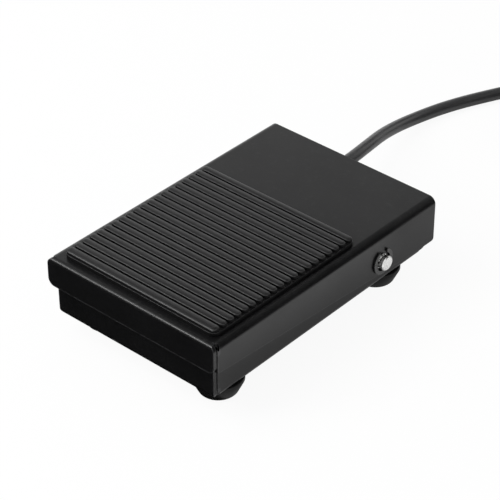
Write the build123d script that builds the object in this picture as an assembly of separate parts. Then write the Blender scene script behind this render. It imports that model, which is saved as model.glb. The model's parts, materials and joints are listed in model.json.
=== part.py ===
from build123d import *
import os
from math import asin, atan2, cos, hypot, pi, radians, sin, tan

# A foot pedal switch: a folded steel cover on a hinge pin, over a folded steel tray.
# X runs to the right, Y to the rear and Z up. The origin is on the floor under the middle.

# Overall sizes
pedal_length = 104.0
pedal_width = 69.0
front_height = 28.2
rest_tilt = 0.85
pedal_travel = 3.6
foot_height = 6.0
tray_inset = 2.0
running_gap = 0.05
seat_gap = 0.1
overrun = 5.0

# Folded cover
cover_sheet = 1.2
cover_side_bend = 2.5
cover_front_bend = 1.5
flange_front_depth = 10.2
flange_below_pin = 5.75
flange_knee_from_rear = 12.0
cover_front_corner = 2.4
cover_rear_corner = 1.0
corner_seam = 0.3
corner_setback = 0.2
notch_radius = 0.8
end_reach = 6.0

# Folded tray
tray_sheet = 1.2
tray_side_bend = 2.5
tray_end_bend = 2.5
tray_top_corner = 2.0
stop_gap = 0.15
side_wall_gap = 0.7
wall_peak_ahead = 4.0

# Hinge
hinge_from_rear = 26.5
hinge_height = 16.7
pin_diameter = 5.0
pin_overhang = 2.3
pin_chamfer = 0.3
clip_thickness = 0.6
clip_diameter = 8.9
clip_groove_diameter = 4.0
clip_band = 1.25
clip_mouth = 3.4
clip_prong_width = 1.5
clip_gap = 0.1
clip_turn = 90.0

# Tread pad
pad_width = 60.9
pad_length = 64.1
pad_from_front = 3.45
pad_offset = 0.65
pad_slab = 1.7
pad_corner = 2.4
pad_slab_round = 0.3
rib_count = 20
rib_margin = 0.27
rib_end_gap = 0.35
rib_height = 0.95
rib_groove = 0.7
rib_round = 0.4

# Feet
foot_from_side = 10.2
foot_from_front = 12.6
foot_from_rear = 16.9
foot_left_set_back = 1.5
foot_diameter = 16.2
foot_end_diameter = 11.9
foot_rim = 1.4
foot_round = 1.5
foot_recess_gap = 0.5
foot_recess_depth = 3.4
screw_diameter = 4.0
screw_head_diameter = 7.0
screw_head_height = 2.2
screw_slot_width = 1.0
screw_slot_depth = 1.0
nut_across_flats = 7.0
nut_height = 3.2
screw_end = 0.8

# Return spring and its seats
spring_from_front = 12.5
spring_diameter = 11.0
spring_wire = 1.2
spring_turns = 6.5
spring_dead_turns = 1.0
spring_dead_gap = 0.6
seat_diameter = 14.0
seat_thickness = 1.0
seat_boss_diameter = 7.6
seat_boss_height = 3.0
seat_rivet_diameter = 3.0

# Snap-action switch
case_length = 19.8
case_height = 10.2
case_width = 6.4
case_ahead_of_hinge = 16.5
case_clearance = 5.4
case_round = 0.6
lid_thickness = 1.4
terminal_length = 4.0
terminal_width = 3.2
terminal_thickness = 0.5
terminal_end = 1.2
terminal_eye = 0.7
terminal_root_share = 0.4
terminal_eye_share = 0.65
lever_length = 14.5
lever_width = 3.6
lever_sheet = 0.4
lever_curl = 0.5
lever_eye = 0.9
lever_pin_diameter = 1.0
lever_pin_end = 1.5
lug_thickness = 0.9
lug_height = 1.8
lug_length = 2.4
plunger_reach = 5.5
plunger_diameter = 2.1
plunger_depth = 3.0
plunger_travel = 0.8
plunger_dome = 0.7

# Bracket of the switch
bracket_sheet = 1.2
bracket_bend = 1.6
bracket_foot = 11.0
bracket_length = 17.0
bracket_rivet_spacing = 10.0
rivet_diameter = 2.5
rivet_head_diameter = 4.4
rivet_head_height = 0.9
switch_hole_spacing = 9.5
switch_hole_height = 2.9
switch_screw_diameter = 2.0
switch_screw_head = 3.8
switch_screw_head_height = 1.3
switch_screw_end = 0.6
switch_nut = 4.0
switch_nut_height = 1.6

# Lead, its bush in the rear wall and its grip
cable_diameter = 4.4
cable_from_side = 22.0
bush_flange_diameter = 9.4
bush_flange = 1.4
bush_floor_gap = 1.4
bush_neck_diameter = 7.2
bush_nose_diameter = 7.8
bush_tip_diameter = 6.4
bush_nose = 6.5
grip_from_wall = 3.4
grip_length = 7.0
grip_width = 12.0
grip_gap = 0.4
grip_bar = 1.6
grip_screw_diameter = 2.0
grip_screw_head = 3.6
grip_screw_head_height = 1.2
grip_screw_spacing = 8.2
inner_cable_end = 3.0

# Leads to the switch
wire_diameter = 1.3
wire_spread = 1.5
wire_height_share = 0.65
bend_share = 0.45
wire_lead_in = 1.8

# Put-away coil of the lead, and its free end
coil_middle = (33.1, 157.9)
coil_radius = 24.0
coil_layer_turns = 3
coil_layers = 4
coil_gap = 0.5
coil_start = 143.13
floor_gap = 0.05
core_length = 16.0
core_tip_length = 7.0
core_tip_diameter = 0.8
cable_first_run = 6.6
cable_last_run = 12.5

# The lead's route between its first and last straight runs, chosen by hand
cable_route = [
    (-15.2, 79.6, 11.6),
    (-19.6, 94.2, 7.9),
    (-22.1, 111.2, 3.6),
    (-18.8, 130.2, 2.25),
    (-10.5, 148.2, 2.25),
]

# Sizes that follow from those above
hinge_from_front = pedal_length - hinge_from_rear
tilt = radians(rest_tilt)
pressed = radians(pedal_travel - rest_tilt)
top_rise = (front_height - hinge_height - hinge_from_front * sin(tilt)) / cos(tilt)
under_rise = top_rise - cover_sheet
flange_rear_depth = top_rise + flange_below_pin
flange_knee = pedal_length - flange_knee_from_rear
hinge_y = hinge_from_front - pedal_length / 2 - top_rise * sin(tilt) / 2
front_y = hinge_y - hinge_from_front
tray_front = front_y + tray_inset
tray_rear = front_y + pedal_length - tray_inset
tray_length = tray_rear - tray_front
tray_width = pedal_width - 2 * tray_inset
tray_floor = foot_height + tray_sheet
pin_radius = pin_diameter / 2
cable_radius = cable_diameter / 2
cable_offset = cable_from_side - pedal_width / 2
cable_height = tray_floor + bush_floor_gap + bush_flange_diameter / 2
rib_pitch = (pad_length - 2 * rib_margin) / rib_count
foot_offset = pedal_width / 2 - foot_from_side
spring_y = front_y + spring_from_front


def under_cover(y, turn=-tilt):
    # Height of the cover's underside over the point y, with the cover turned that far.
    return hinge_height + (under_rise + (y - hinge_y) * sin(turn)) / cos(turn)


def at_rest(piece):
    # The cover's pieces are drawn level with the top at zero; this puts them where they rest.
    level = Pos(0, 0, top_rise) * piece
    return Pos(0, hinge_y, hinge_height) * Rot(-rest_tilt, 0, 0) * Pos(0, -hinge_from_front, 0) * level


def round_bar(radius, length):
    # A bar that stands on its lower face.
    return Cylinder(radius, length, align=(Align.CENTER, Align.CENTER, Align.MIN))


def cross_bar(radius, low, high, y, z):
    # A bar along X between two places.
    return Pos(low, y, z) * Rot(0, 90, 0) * round_bar(radius, high - low)


def end_wall(width, depth, sheet, end_bend, top_round, low_round):
    # One folded end at Y zero, with its bend and a lip that runs into the plate.
    face = Pos(0, -depth / 2) * Rectangle(width, depth)
    face = fillet(face.vertices().group_by(Axis.Y)[-1], top_round)
    face = fillet(face.vertices().group_by(Axis.Y)[0], low_round)
    outer = Pos(end_reach / 2, -depth / 2) * Rectangle(end_reach, depth)
    outer = fillet(outer.vertices().group_by(Axis.Y)[-1].sort_by(Axis.X)[0], end_bend)
    inner = Pos(sheet + end_reach / 2, -sheet - depth / 2) * Rectangle(end_reach, depth)
    inner = fillet(inner.vertices().group_by(Axis.Y)[-1].sort_by(Axis.X)[0], end_bend - sheet)
    bar = extrude(Plane.YZ * (outer - inner), amount=width / 2, both=True)
    return bar & extrude(Plane.XZ * face, amount=end_reach, dir=(0, 1, 0))


def channel(width, depth, length, sheet, side_bend):
    # The plate with its two side flanges, open downwards, from Y zero to its length.
    outer = Pos(0, -depth / 2) * Rectangle(width, depth)
    outer = fillet(outer.vertices().group_by(Axis.Y)[-1], side_bend)
    inner = Pos(0, -sheet - depth / 2) * Rectangle(width - 2 * sheet, depth)
    inner = fillet(inner.vertices().group_by(Axis.Y)[-1], side_bend - sheet)
    return extrude(Plane.XZ * (outer - inner), amount=length, dir=(0, 1, 0))


def corner_cuts(width, depth, sheet, side_bend):
    # The open seam at each corner of a folded end, and the relief hole where it stops.
    seam_low = width / 2 - side_bend + notch_radius / 2
    seam_width = side_bend + overrun
    cuts = []
    for side in (-1, 1):
        seam = Box(seam_width, corner_seam, depth + 2 * overrun)
        cuts.append(Pos(side * (seam_low + seam_width / 2), sheet + corner_seam / 2, -depth / 2) * seam)
        hole = round_bar(notch_radius, side_bend + sheet + overrun)
        cuts.append(Pos(side * (width / 2 - notch_radius), sheet + notch_radius, -side_bend - sheet) * hole)
    return cuts


def make_cover():
    # Plate, side flanges and front flange folded from one sheet.
    start = cover_sheet + corner_seam
    shell = Pos(0, start, 0) * channel(
        pedal_width, flange_rear_depth, pedal_length - start, cover_sheet, cover_side_bend
    )
    front = end_wall(
        pedal_width - 2 * corner_setback, flange_front_depth, cover_sheet,
        cover_front_bend, cover_side_bend, cover_front_corner,
    )
    shell = shell + front
    for cut in corner_cuts(pedal_width, flange_rear_depth, cover_sheet, cover_side_bend):
        shell = shell - cut
    below = Polyline(
        (-overrun, -flange_front_depth),
        (0, -flange_front_depth),
        (flange_knee, -flange_rear_depth),
        (flange_knee, -flange_rear_depth - overrun),
        (-overrun, -flange_rear_depth - overrun),
        close=True,
    )
    shell = shell - extrude(Plane.YZ * make_face(below), amount=pedal_width, both=True)
    rear_edges = shell.edges().filter_by(Axis.X).group_by(Axis.Y)[-1].group_by(Axis.Z)[0]
    shell = fillet(rear_edges, cover_rear_corner)
    hole = cross_bar(pin_radius + running_gap, -pedal_width, pedal_width, hinge_from_front, -top_rise)
    return shell - hole


def make_pad():
    # Slab with bull-nosed ribs across it.
    slab = extrude(RectangleRounded(pad_width, pad_length, pad_corner), pad_slab)
    slab = fillet(slab.faces().sort_by(Axis.Z)[-1].edges(), pad_slab_round)
    rib_width = rib_pitch - rib_groove
    rib_length = pad_width - 2 * rib_end_gap
    rib = extrude(SlotOverall(rib_length, rib_width), rib_height + pad_slab / 2)
    rib = chamfer(rib.faces().sort_by(Axis.Z)[-1].edges(), rib_round)
    pad = slab
    for count in range(rib_count):
        pad = pad + Pos(0, (count - (rib_count - 1) / 2) * rib_pitch, pad_slab / 2) * rib
    return Pos(pad_offset, pad_from_front + pad_length / 2, 0) * pad


def make_tray():
    # Drawn upside down from the rear end at Y zero, then turned over onto its bottom.
    end_gap = tray_sheet + corner_seam
    front_top = under_cover(tray_front, pressed) - stop_gap
    rear_top = under_cover(tray_rear) - stop_gap
    peak_y = hinge_y - wall_peak_ahead
    peak = under_cover(peak_y, pressed) - side_wall_gap
    high = peak - foot_height
    body = Pos(0, end_gap, 0) * channel(
        tray_width, high, tray_length - 2 * end_gap, tray_sheet, tray_side_bend
    )
    end_width = tray_width - 2 * corner_setback
    rear = end_wall(
        end_width, rear_top - foot_height, tray_sheet, tray_end_bend, tray_side_bend, tray_top_corner
    )
    front = end_wall(
        end_width, front_top - foot_height, tray_sheet, tray_end_bend, tray_side_bend, tray_top_corner
    )
    middle = Plane.XZ.offset(-tray_length / 2)
    body = body + rear + mirror(front, middle)
    for cut in corner_cuts(tray_width, high, tray_sheet, tray_side_bend):
        body = body - cut - mirror(cut, middle)
    tray = Pos(0, tray_rear, foot_height) * Rot(180, 0, 0) * body
    above = Polyline(
        (tray_front + end_gap, front_top - side_wall_gap + stop_gap),
        (peak_y, peak),
        (tray_rear - end_gap, rear_top - side_wall_gap + stop_gap),
        (tray_rear - end_gap, peak + overrun),
        (tray_front + end_gap, peak + overrun),
        close=True,
    )
    tray = tray - extrude(Plane.YZ * make_face(above), amount=tray_width, both=True)
    tray = tray - cross_bar(pin_radius + running_gap, -tray_width, tray_width, hinge_y, hinge_height)
    for x, y in foot_places():
        tray = tray - Pos(x, y, 0) * round_bar(screw_diameter / 2 + running_gap, front_height)
    for y in bracket_rivet_places():
        tray = tray - Pos(bracket_rivet_x, y, 0) * round_bar(rivet_diameter / 2 + running_gap, hinge_height)
    for x in grip_screw_places():
        tray = tray - Pos(x, grip_y, 0) * round_bar(grip_screw_diameter / 2 + running_gap, hinge_height)
    tray = tray - Pos(0, spring_y, 0) * round_bar(seat_rivet_diameter / 2 + running_gap, hinge_height)
    bush_hole = Rot(-90, 0, 0) * round_bar(bush_neck_diameter / 2 + running_gap, 2 * overrun)
    return tray - Pos(cable_offset, tray_rear - overrun, cable_height) * bush_hole


def foot_places():
    # The front left foot sits a little further back than the front right one.
    front = front_y + foot_from_front
    rear = front_y + pedal_length - foot_from_rear
    return [
        (-foot_offset, front + foot_left_set_back),
        (foot_offset, front),
        (-foot_offset, rear),
        (foot_offset, rear),
    ]


def make_foot():
    # A moulded cone that narrows towards the floor, with a recess for its screw's head.
    low_height = foot_height - foot_rim
    foot = Cone(
        foot_end_diameter / 2, foot_diameter / 2, low_height, align=(Align.CENTER, Align.CENTER, Align.MIN)
    )
    foot = foot + Pos(0, 0, low_height) * round_bar(foot_diameter / 2, foot_rim)
    foot = fillet(foot.faces().sort_by(Axis.Z)[0].edges(), foot_round)
    foot = foot - round_bar(screw_head_diameter / 2 + foot_recess_gap, foot_recess_depth)
    return foot - round_bar(screw_diameter / 2 + running_gap, foot_height)


def make_foot_screw():
    head_low = foot_recess_depth - screw_head_height
    top = tray_floor + nut_height + screw_end
    screw = Pos(0, 0, head_low) * round_bar(screw_head_diameter / 2, screw_head_height)
    screw = screw + Pos(0, 0, head_low) * round_bar(screw_diameter / 2, top - head_low)
    slot = Box(screw_head_diameter + overrun, screw_slot_width, 2 * screw_slot_depth)
    return screw - Pos(0, 0, head_low) * slot


def make_nut(across, height, bore):
    nut = extrude(RegularPolygon(across / 2, 6, major_radius=False), height)
    return nut - round_bar(bore / 2 + running_gap, height)


def make_pin():
    half = pedal_width / 2 + pin_overhang
    pin = cross_bar(pin_radius, -half, half, hinge_y, hinge_height)
    pin = chamfer(pin.edges().filter_by(GeomType.CIRCLE), pin_chamfer)
    groove = round_bar(pin_diameter, clip_thickness + 2 * running_gap)
    groove = groove - round_bar(clip_groove_diameter / 2, clip_thickness + 2 * running_gap)
    low = pedal_width / 2 + clip_gap - running_gap
    for side in (-1, 1):
        pin = pin - Pos(side * low, hinge_y, hinge_height) * Rot(0, side * 90, 0) * groove
    return pin


def make_clip(side):
    # E-clip: an open ring with three prongs that reach into the pin's groove.
    ring = Circle(clip_diameter / 2) - Circle(clip_diameter / 2 - clip_band)
    prong = Rectangle(clip_prong_width, clip_diameter / 2, align=(Align.CENTER, Align.MIN))
    for turn in (90, 180, 270):
        ring = ring + Rot(0, 0, turn) * prong
    ring = ring - Circle(clip_groove_diameter / 2 + running_gap)
    ring = ring & Circle(clip_diameter / 2)
    mouth = Rectangle(clip_mouth, clip_diameter, align=(Align.CENTER, Align.MIN))
    clip = extrude(ring - mouth, clip_thickness)
    # The ring is drawn flat with its mouth towards Y, then stood up and turned.
    stood = Rot(0, side * 90, 0) * Rot(0, 0, side * clip_turn) * clip
    return Pos(side * (pedal_width / 2 + clip_gap), hinge_y, hinge_height) * stood


def make_spring_seat():
    seat = round_bar(seat_diameter / 2, seat_thickness)
    seat = seat + round_bar(seat_boss_diameter / 2, seat_thickness + seat_boss_height)
    seat = seat + Pos(0, 0, -tray_sheet) * round_bar(seat_rivet_diameter / 2, tray_sheet)
    return Pos(0, spring_y, tray_floor) * seat


def make_spring_cap():
    cap = round_bar(seat_diameter / 2, seat_thickness)
    cap = cap + round_bar(seat_boss_diameter / 2, seat_thickness + seat_boss_height)
    return at_rest(Pos(0, spring_from_front, -cover_sheet) * Rot(180, 0, 0) * cap)


def biarc(start, start_way, end, end_way):
    # Two arcs that leave one place and reach the next, each along its given direction.
    across = end - start
    both = start_way + end_way
    spare = 2 * (1 - start_way.dot(end_way))
    reach = (-across.dot(both) + (across.dot(both) ** 2 + spare * across.dot(across)) ** 0.5) / spare
    first = start + start_way * reach
    second = end - end_way * reach
    middle = (first + second) * 0.5
    way = (second - first).normalized()
    return [
        Edge.make_tangent_arc(start, start_way, middle),
        Edge.make_tangent_arc(middle, way, end),
    ]


def wound_path(place, turns):
    # A path through the given turns of a winding, as two arcs from each to the next.
    step = 1e-4
    ways = [(place(turn + step) - place(turn - step)).normalized() for turn in turns]
    path = []
    for count in range(len(turns) - 1):
        path += biarc(place(turns[count]), ways[count], place(turns[count + 1]), ways[count + 1])
    return path


def least_gap(points, radius, skip):
    # Least gap between the tube's own turns, taken on points along its centre line.
    least = None
    for count, first in enumerate(points):
        for second in points[count + skip:]:
            space = (first - second).length - 2 * radius
            if least is None or space < least:
                least = space
    return least


def tube(path, radius):
    section = Plane(origin=path @ 0, z_dir=path % 0) * Circle(radius)
    return sweep(section, path=path)


def make_spring():
    # Close-wound end turns, open turns between them, and ends ground flat.
    low = tray_floor + seat_thickness
    high = under_cover(spring_y) - seat_thickness / cos(tilt) - seat_gap
    mean = (spring_diameter - spring_wire) / 2
    dead_pitch = spring_wire + spring_dead_gap
    start = low + spring_wire / 4
    height = high - low - spring_wire / 2
    open_turns = spring_turns - 2 * spring_dead_turns
    open_pitch = (height - 2 * spring_dead_turns * dead_pitch) / open_turns

    def place(turn):
        lower = min(turn, spring_dead_turns)
        middle = min(max(turn - spring_dead_turns, 0), open_turns)
        upper = max(turn - spring_dead_turns - open_turns, 0)
        z = start + (lower + upper) * dead_pitch + middle * open_pitch
        angle = 2 * pi * turn
        return Vector(mean * cos(angle), spring_y + mean * sin(angle), z)

    halves = int(round(2 * spring_turns))
    turns = [count / 2 for count in range(halves + 1)]
    wire = Wire(wound_path(place, turns))
    points = [place(count / 24) for count in range(int(24 * spring_turns) + 1)]
    print("spring's least gap to itself:", round(least_gap(points, spring_wire / 2, 12), 2), "mm")
    coil = tube(wire, spring_wire / 2)
    room = Pos(0, spring_y, low) * round_bar(spring_diameter, high - low)
    return coil & room


# Places in the switch
case_rear = hinge_y - case_ahead_of_hinge
case_front = case_rear - case_length
case_low = tray_floor + case_clearance
case_top = case_low + case_height
lever_pin_y = case_rear - lever_pin_end
lever_pin_z = case_top + lever_eye + running_gap
lever_tip_y = lever_pin_y - lever_length
lever_arm = lever_eye - lever_sheet / 2
tip_rise = under_cover(lever_tip_y) - seat_gap - lever_curl - lever_pin_z
lever_rest = asin(tip_rise / hypot(lever_length, lever_arm)) - atan2(lever_arm, lever_length)
bracket_rivet_x = case_width / 2 + bracket_sheet + bracket_foot / 2
switch_hole_z = case_low + switch_hole_height
case_middle = (case_front + case_rear) / 2
grip_y = tray_rear - tray_sheet - bush_flange - grip_from_wall - grip_length / 2


def bracket_rivet_places():
    return [case_middle + side * bracket_rivet_spacing / 2 for side in (-1, 1)]


def grip_screw_places():
    return [cable_offset + side * grip_screw_spacing / 2 for side in (-1, 1)]


def switch_screw_places():
    return [case_middle + side * switch_hole_spacing / 2 for side in (-1, 1)]


def plunger_place():
    return lever_pin_y - plunger_reach


def block(low, high):
    # A box between two corners.
    size = [b - a for a, b in zip(low, high)]
    return Pos(*low) * Box(*size, align=(Align.MIN, Align.MIN, Align.MIN))


def make_case(low, high):
    # One half of the switch housing, between two X places, with its screw holes.
    half = block((low, case_front, case_low), (high, case_rear, case_top))
    half = fillet(half.edges().filter_by(Axis.X), case_round)
    for y in switch_screw_places():
        half = half - cross_bar(switch_screw_diameter / 2 + running_gap, low, high, y, switch_hole_z)
    return half


def add_lug(half, low):
    # The ear beside the lever, with the hole for the lever's pin.
    lug = block(
        (low, lever_pin_y - lug_length / 2, case_top - case_round),
        (low + lug_thickness, lever_pin_y + lug_length / 2, case_top + lug_height),
    )
    hole = cross_bar(
        lever_pin_diameter / 2 + running_gap, -case_width, case_width, lever_pin_y, lever_pin_z
    )
    return half + lug - hole


def make_switch_case():
    case = make_case(-case_width / 2, case_width / 2 - lid_thickness)
    case = add_lug(case, -lever_width / 2 - running_gap - lug_thickness)
    well = case_top - plunger_depth - plunger_travel - running_gap
    bore = round_bar(plunger_diameter / 2 + running_gap, case_height)
    case = case - Pos(0, plunger_place(), well) * bore
    for y in terminal_places():
        case = case - terminal_box(y, running_gap)
    return case


def make_switch_lid():
    # Its ear stands on the case where the lever is narrower than the case.
    seam = case_width / 2 - lid_thickness
    lid = add_lug(make_case(seam, case_width / 2), lever_width / 2 + running_gap)
    return lid - block((-case_width, case_front, case_low), (seam, case_rear, case_top))


def terminal_places():
    inner = terminal_end + terminal_width / 2
    return [case_front + inner, case_middle, case_rear - inner]


def terminal_box(y, spare=0.0):
    half = terminal_thickness / 2 + spare
    wide = terminal_width / 2 + spare
    return block(
        (-half, y - wide, case_low - terminal_length),
        (half, y + wide, case_low + terminal_length * terminal_root_share + spare),
    )


def make_terminal(y):
    eye = cross_bar(terminal_eye, -case_width, case_width, y, case_low - terminal_length * terminal_eye_share)
    return terminal_box(y) - eye


def make_plunger():
    top = lever_under(plunger_reach)
    low = case_top - plunger_depth
    plunger = Pos(0, plunger_place(), low) * round_bar(plunger_diameter / 2, top - low)
    return fillet(plunger.edges().group_by(Axis.Z)[-1], plunger_dome)


def lever_under(reach):
    # Height of the lever's underside at that distance ahead of its pivot, at rest.
    line = lever_pin_z + (lever_arm + reach * sin(lever_rest)) / cos(lever_rest)
    return line - (lever_sheet / 2 + running_gap) / cos(lever_rest) - plunger_dome * tan(lever_rest)


def make_lever():
    # Strip from a rolled eye on the pivot to a curled tip that the cover presses.
    eye = Circle(lever_eye)
    strip = Pos(-lever_length / 2, lever_arm) * Rectangle(lever_length, lever_sheet)
    curl = Pos(-lever_length, lever_arm) * Circle(lever_curl)
    outline = eye + strip + curl - Circle(lever_pin_diameter / 2 + running_gap)
    lever = extrude(Plane.YZ * outline, amount=lever_width / 2, both=True)
    turned = Rot(-lever_rest * 180 / pi, 0, 0) * lever
    return Pos(0, lever_pin_y, lever_pin_z) * turned


def make_bracket():
    # Angle bracket: the upright carries the switch and the foot is riveted to the tray.
    near = case_width / 2
    top = case_low + 2 * switch_hole_height
    outer = Pos(near, tray_floor) * Rectangle(
        bracket_sheet + bracket_foot, top - tray_floor, align=(Align.MIN, Align.MIN)
    )
    outer = fillet(outer.vertices().group_by(Axis.Y)[0].sort_by(Axis.X)[0], bracket_bend)
    inner = Pos(near + bracket_sheet, tray_floor + bracket_sheet) * Rectangle(
        bracket_foot + overrun, top, align=(Align.MIN, Align.MIN)
    )
    inner = fillet(inner.vertices().group_by(Axis.Y)[0].sort_by(Axis.X)[0], bracket_bend - bracket_sheet)
    bracket = extrude(Plane.XZ * (outer - inner), amount=bracket_length, dir=(0, 1, 0))
    bracket = Pos(0, case_middle - bracket_length / 2, 0) * bracket
    for y in switch_screw_places():
        bore = switch_screw_diameter / 2 + running_gap
        bracket = bracket - cross_bar(bore, near, near + 2 * bracket_sheet, y, switch_hole_z)
    for y in bracket_rivet_places():
        bracket = bracket - Pos(bracket_rivet_x, y, 0) * round_bar(rivet_diameter / 2 + running_gap, case_low)
    return bracket


def make_bracket_rivet(y):
    top = tray_floor + bracket_sheet
    rivet = Pos(0, 0, foot_height) * round_bar(rivet_diameter / 2, top - foot_height)
    for z in (foot_height - rivet_head_height, top):
        head = round_bar(rivet_head_diameter / 2, rivet_head_height)
        rivet = rivet + Pos(0, 0, z) * head
    return Pos(bracket_rivet_x, y, 0) * rivet


def make_switch_screw(y):
    head_low = case_width / 2 + bracket_sheet
    tip = -case_width / 2 - switch_nut_height - switch_screw_end
    screw = cross_bar(switch_screw_diameter / 2, tip, head_low, y, switch_hole_z)
    return screw + cross_bar(
        switch_screw_head / 2, head_low, head_low + switch_screw_head_height, y, switch_hole_z
    )


def make_switch_nut(y):
    nut = make_nut(switch_nut, switch_nut_height, switch_screw_diameter)
    return Pos(-case_width / 2 - switch_nut_height, y, switch_hole_z) * Rot(0, 90, 0) * nut


def make_bush():
    # Rubber bush in the rear wall, with a tapered nose for the lead.
    inside = tray_rear - tray_sheet - bush_flange
    wall_low = tray_rear - tray_sheet
    bore = cable_radius + running_gap
    nose_start = tray_rear + bush_flange
    nose_end = nose_start + bush_nose
    outline = Polyline(
        (bore, inside),
        (bush_flange_diameter / 2, inside),
        (bush_flange_diameter / 2, wall_low),
        (bush_neck_diameter / 2, wall_low),
        (bush_neck_diameter / 2, tray_rear),
        (bush_flange_diameter / 2, tray_rear),
        (bush_flange_diameter / 2, nose_start),
        (bush_nose_diameter / 2, nose_start),
        (bush_tip_diameter / 2, nose_end),
        (bore, nose_end),
        close=True,
    )
    bush = revolve(make_face(outline), Axis.Y)
    return Pos(cable_offset, 0, cable_height) * bush


# The lead's inner stretch stops inside the bush, where its outer one starts
bush_end = tray_rear + bush_flange + bush_nose
cable_start = tray_rear + bush_flange


def along_rear(radius, low, high):
    # A bar along Y on the lead's line through the rear wall.
    return Pos(cable_offset, low, cable_height) * Rot(-90, 0, 0) * round_bar(radius, high - low)


def make_grip_block():
    half = grip_width / 2
    piece = block(
        (cable_offset - half, grip_y - grip_length / 2, tray_floor),
        (cable_offset + half, grip_y + grip_length / 2, cable_height - grip_gap / 2),
    )
    return cut_grip(piece)


def make_grip_bar():
    half = grip_width / 2
    top = cable_height + cable_radius + running_gap + grip_bar
    piece = block(
        (cable_offset - half, grip_y - grip_length / 2, cable_height + grip_gap / 2),
        (cable_offset + half, grip_y + grip_length / 2, top),
    )
    return cut_grip(piece)


def cut_grip(piece):
    piece = piece - along_rear(cable_radius + running_gap, grip_y - grip_length, grip_y + grip_length)
    for x in grip_screw_places():
        hole = round_bar(grip_screw_diameter / 2 + running_gap, front_height)
        piece = piece - Pos(x, grip_y, 0) * hole
    return piece


def make_grip_screw(x):
    top = cable_height + cable_radius + running_gap + grip_bar
    screw = Pos(0, 0, foot_height) * round_bar(grip_screw_diameter / 2, top - foot_height)
    screw = screw + Pos(0, 0, top) * round_bar(grip_screw_head / 2, grip_screw_head_height)
    return Pos(x, grip_y, 0) * screw


def routed(points, run_share):
    # Straight runs joined by tangent arcs, as large as their runs allow.
    radii = []
    for before, here, after in zip(points, points[1:], points[2:]):
        first = Vector(*here) - Vector(*before)
        second = Vector(*after) - Vector(*here)
        turn = radians(first.get_angle(second))
        radii.append(run_share * min(first.length, second.length) / tan(turn / 2))
    return FilletPolyline(*points, radius=radii), radii


def make_wire(number, y):
    # One lead from the cable's end to the side of its terminal.
    start_y = grip_y - grip_length / 2 - inner_cable_end
    side = (number - 1) * wire_spread
    eye_z = case_low - terminal_length * wire_height_share
    end_x = -terminal_thickness / 2 - seat_gap
    turn_x = end_x - 2 * wire_lead_in - (2 - number) * wire_spread
    points = [
        (cable_offset + side, start_y, cable_height),
        (cable_offset + side, start_y - 2 * wire_lead_in, cable_height),
        (cable_offset + side + wire_lead_in, start_y - 4 * wire_lead_in, eye_z),
        (turn_x, y, eye_z),
        (end_x, y, eye_z),
    ]
    path, radii = routed(points, bend_share)
    return tube(path, wire_diameter / 2)

def coil_place(turn):
    # The coil spirals in and out again, and climbs a layer where it turns back.
    total = coil_layer_turns * coil_layers
    bounded = min(max(turn, 0), total)
    leg = min(int(bounded // coil_layer_turns), coil_layers - 1)
    into = bounded - leg * coil_layer_turns
    inward = into if leg % 2 == 0 else coil_layer_turns - into
    pitch = cable_diameter + coil_gap
    radius = coil_radius + (coil_layer_turns / 2 - inward) * pitch
    climb = 0.0
    for turn_back in range(1, coil_layers):
        share = (bounded - turn_back * coil_layer_turns) * 2 + 0.5
        share = min(max(share, 0), 1)
        climb += share * share * (3 - 2 * share) * pitch
    angle = radians(coil_start) - 2 * pi * turn
    x, y = coil_middle
    return Vector(x + radius * cos(angle), y + radius * sin(angle), cable_radius + floor_gap + climb)


def coil_turns():
    # Quarter turns at the two ends and half turns between them.
    total = coil_layer_turns * coil_layers
    return [0.0] + [0.25 + count / 2 for count in range(2 * total)] + [float(total)]


def coil_way(turn):
    step = 1e-4
    return (coil_place(turn + step) - coil_place(turn - step)).normalized()


def make_coil():
    total = float(coil_layer_turns * coil_layers)
    start, end = coil_place(0.0), coil_place(total)
    lead = start - coil_way(0.0) * cable_diameter
    tail = end + coil_way(total) * cable_diameter
    path = Wire([Edge.make_line(lead, start)] + wound_path(coil_place, coil_turns()) + [Edge.make_line(end, tail)])
    points = [coil_place(count / 24) for count in range(int(24 * total) + 1)]
    print("coil's least gap to itself:", round(least_gap(points, cable_radius, 12), 2), "mm")
    print("coil's length:", round(path.length, 1), "mm")
    return tube(path, cable_radius)


def make_cable():
    # The free stretch, through the bush's nose and on to the coil.
    lead = coil_place(0.0) - coil_way(0.0) * cable_diameter
    last = lead - coil_way(0.0) * cable_last_run
    first = [(cable_offset, y, cable_height) for y in (cable_start, bush_end + cable_first_run)]
    points = first + cable_route + [(last.X, last.Y, last.Z), (lead.X, lead.Y, lead.Z)]
    print("cable's points:", [tuple(round(value, 2) for value in point) for point in points])
    path, radii = routed(points, bend_share)
    print("cable's radii:", [round(radius, 1) for radius in radii])
    cable = tube(path, cable_radius)
    print("cable's length:", round(path.length, 1), "volume over section times length:",
          round(cable.volume / (pi * cable_radius ** 2 * path.length), 4))
    return cable


def make_cores(radius, low, high):
    # The lead's three cores, side by side past its cut end.
    total = float(coil_layer_turns * coil_layers)
    way = coil_way(total)
    start = coil_place(total) + way * cable_diameter
    across = Vector(way.Y, -way.X, 0)
    cores = []
    for number in (-1, 0, 1):
        centre = start + across * (number * wire_spread) + way * low
        plane = Plane(origin=centre, z_dir=way)
        cores.append(extrude(plane * Circle(radius), high - low))
    return Compound(cores)


def group(pieces):
    return Compound([solid for piece in pieces for solid in piece.solids()])


common_y, open_y, closed_y = terminal_places()
foot_names = ["front_left_foot", "front_right_foot", "rear_left_foot", "rear_right_foot"]
foot_nut = Pos(0, 0, tray_floor) * make_nut(nut_across_flats, nut_height, screw_diameter)

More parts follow.
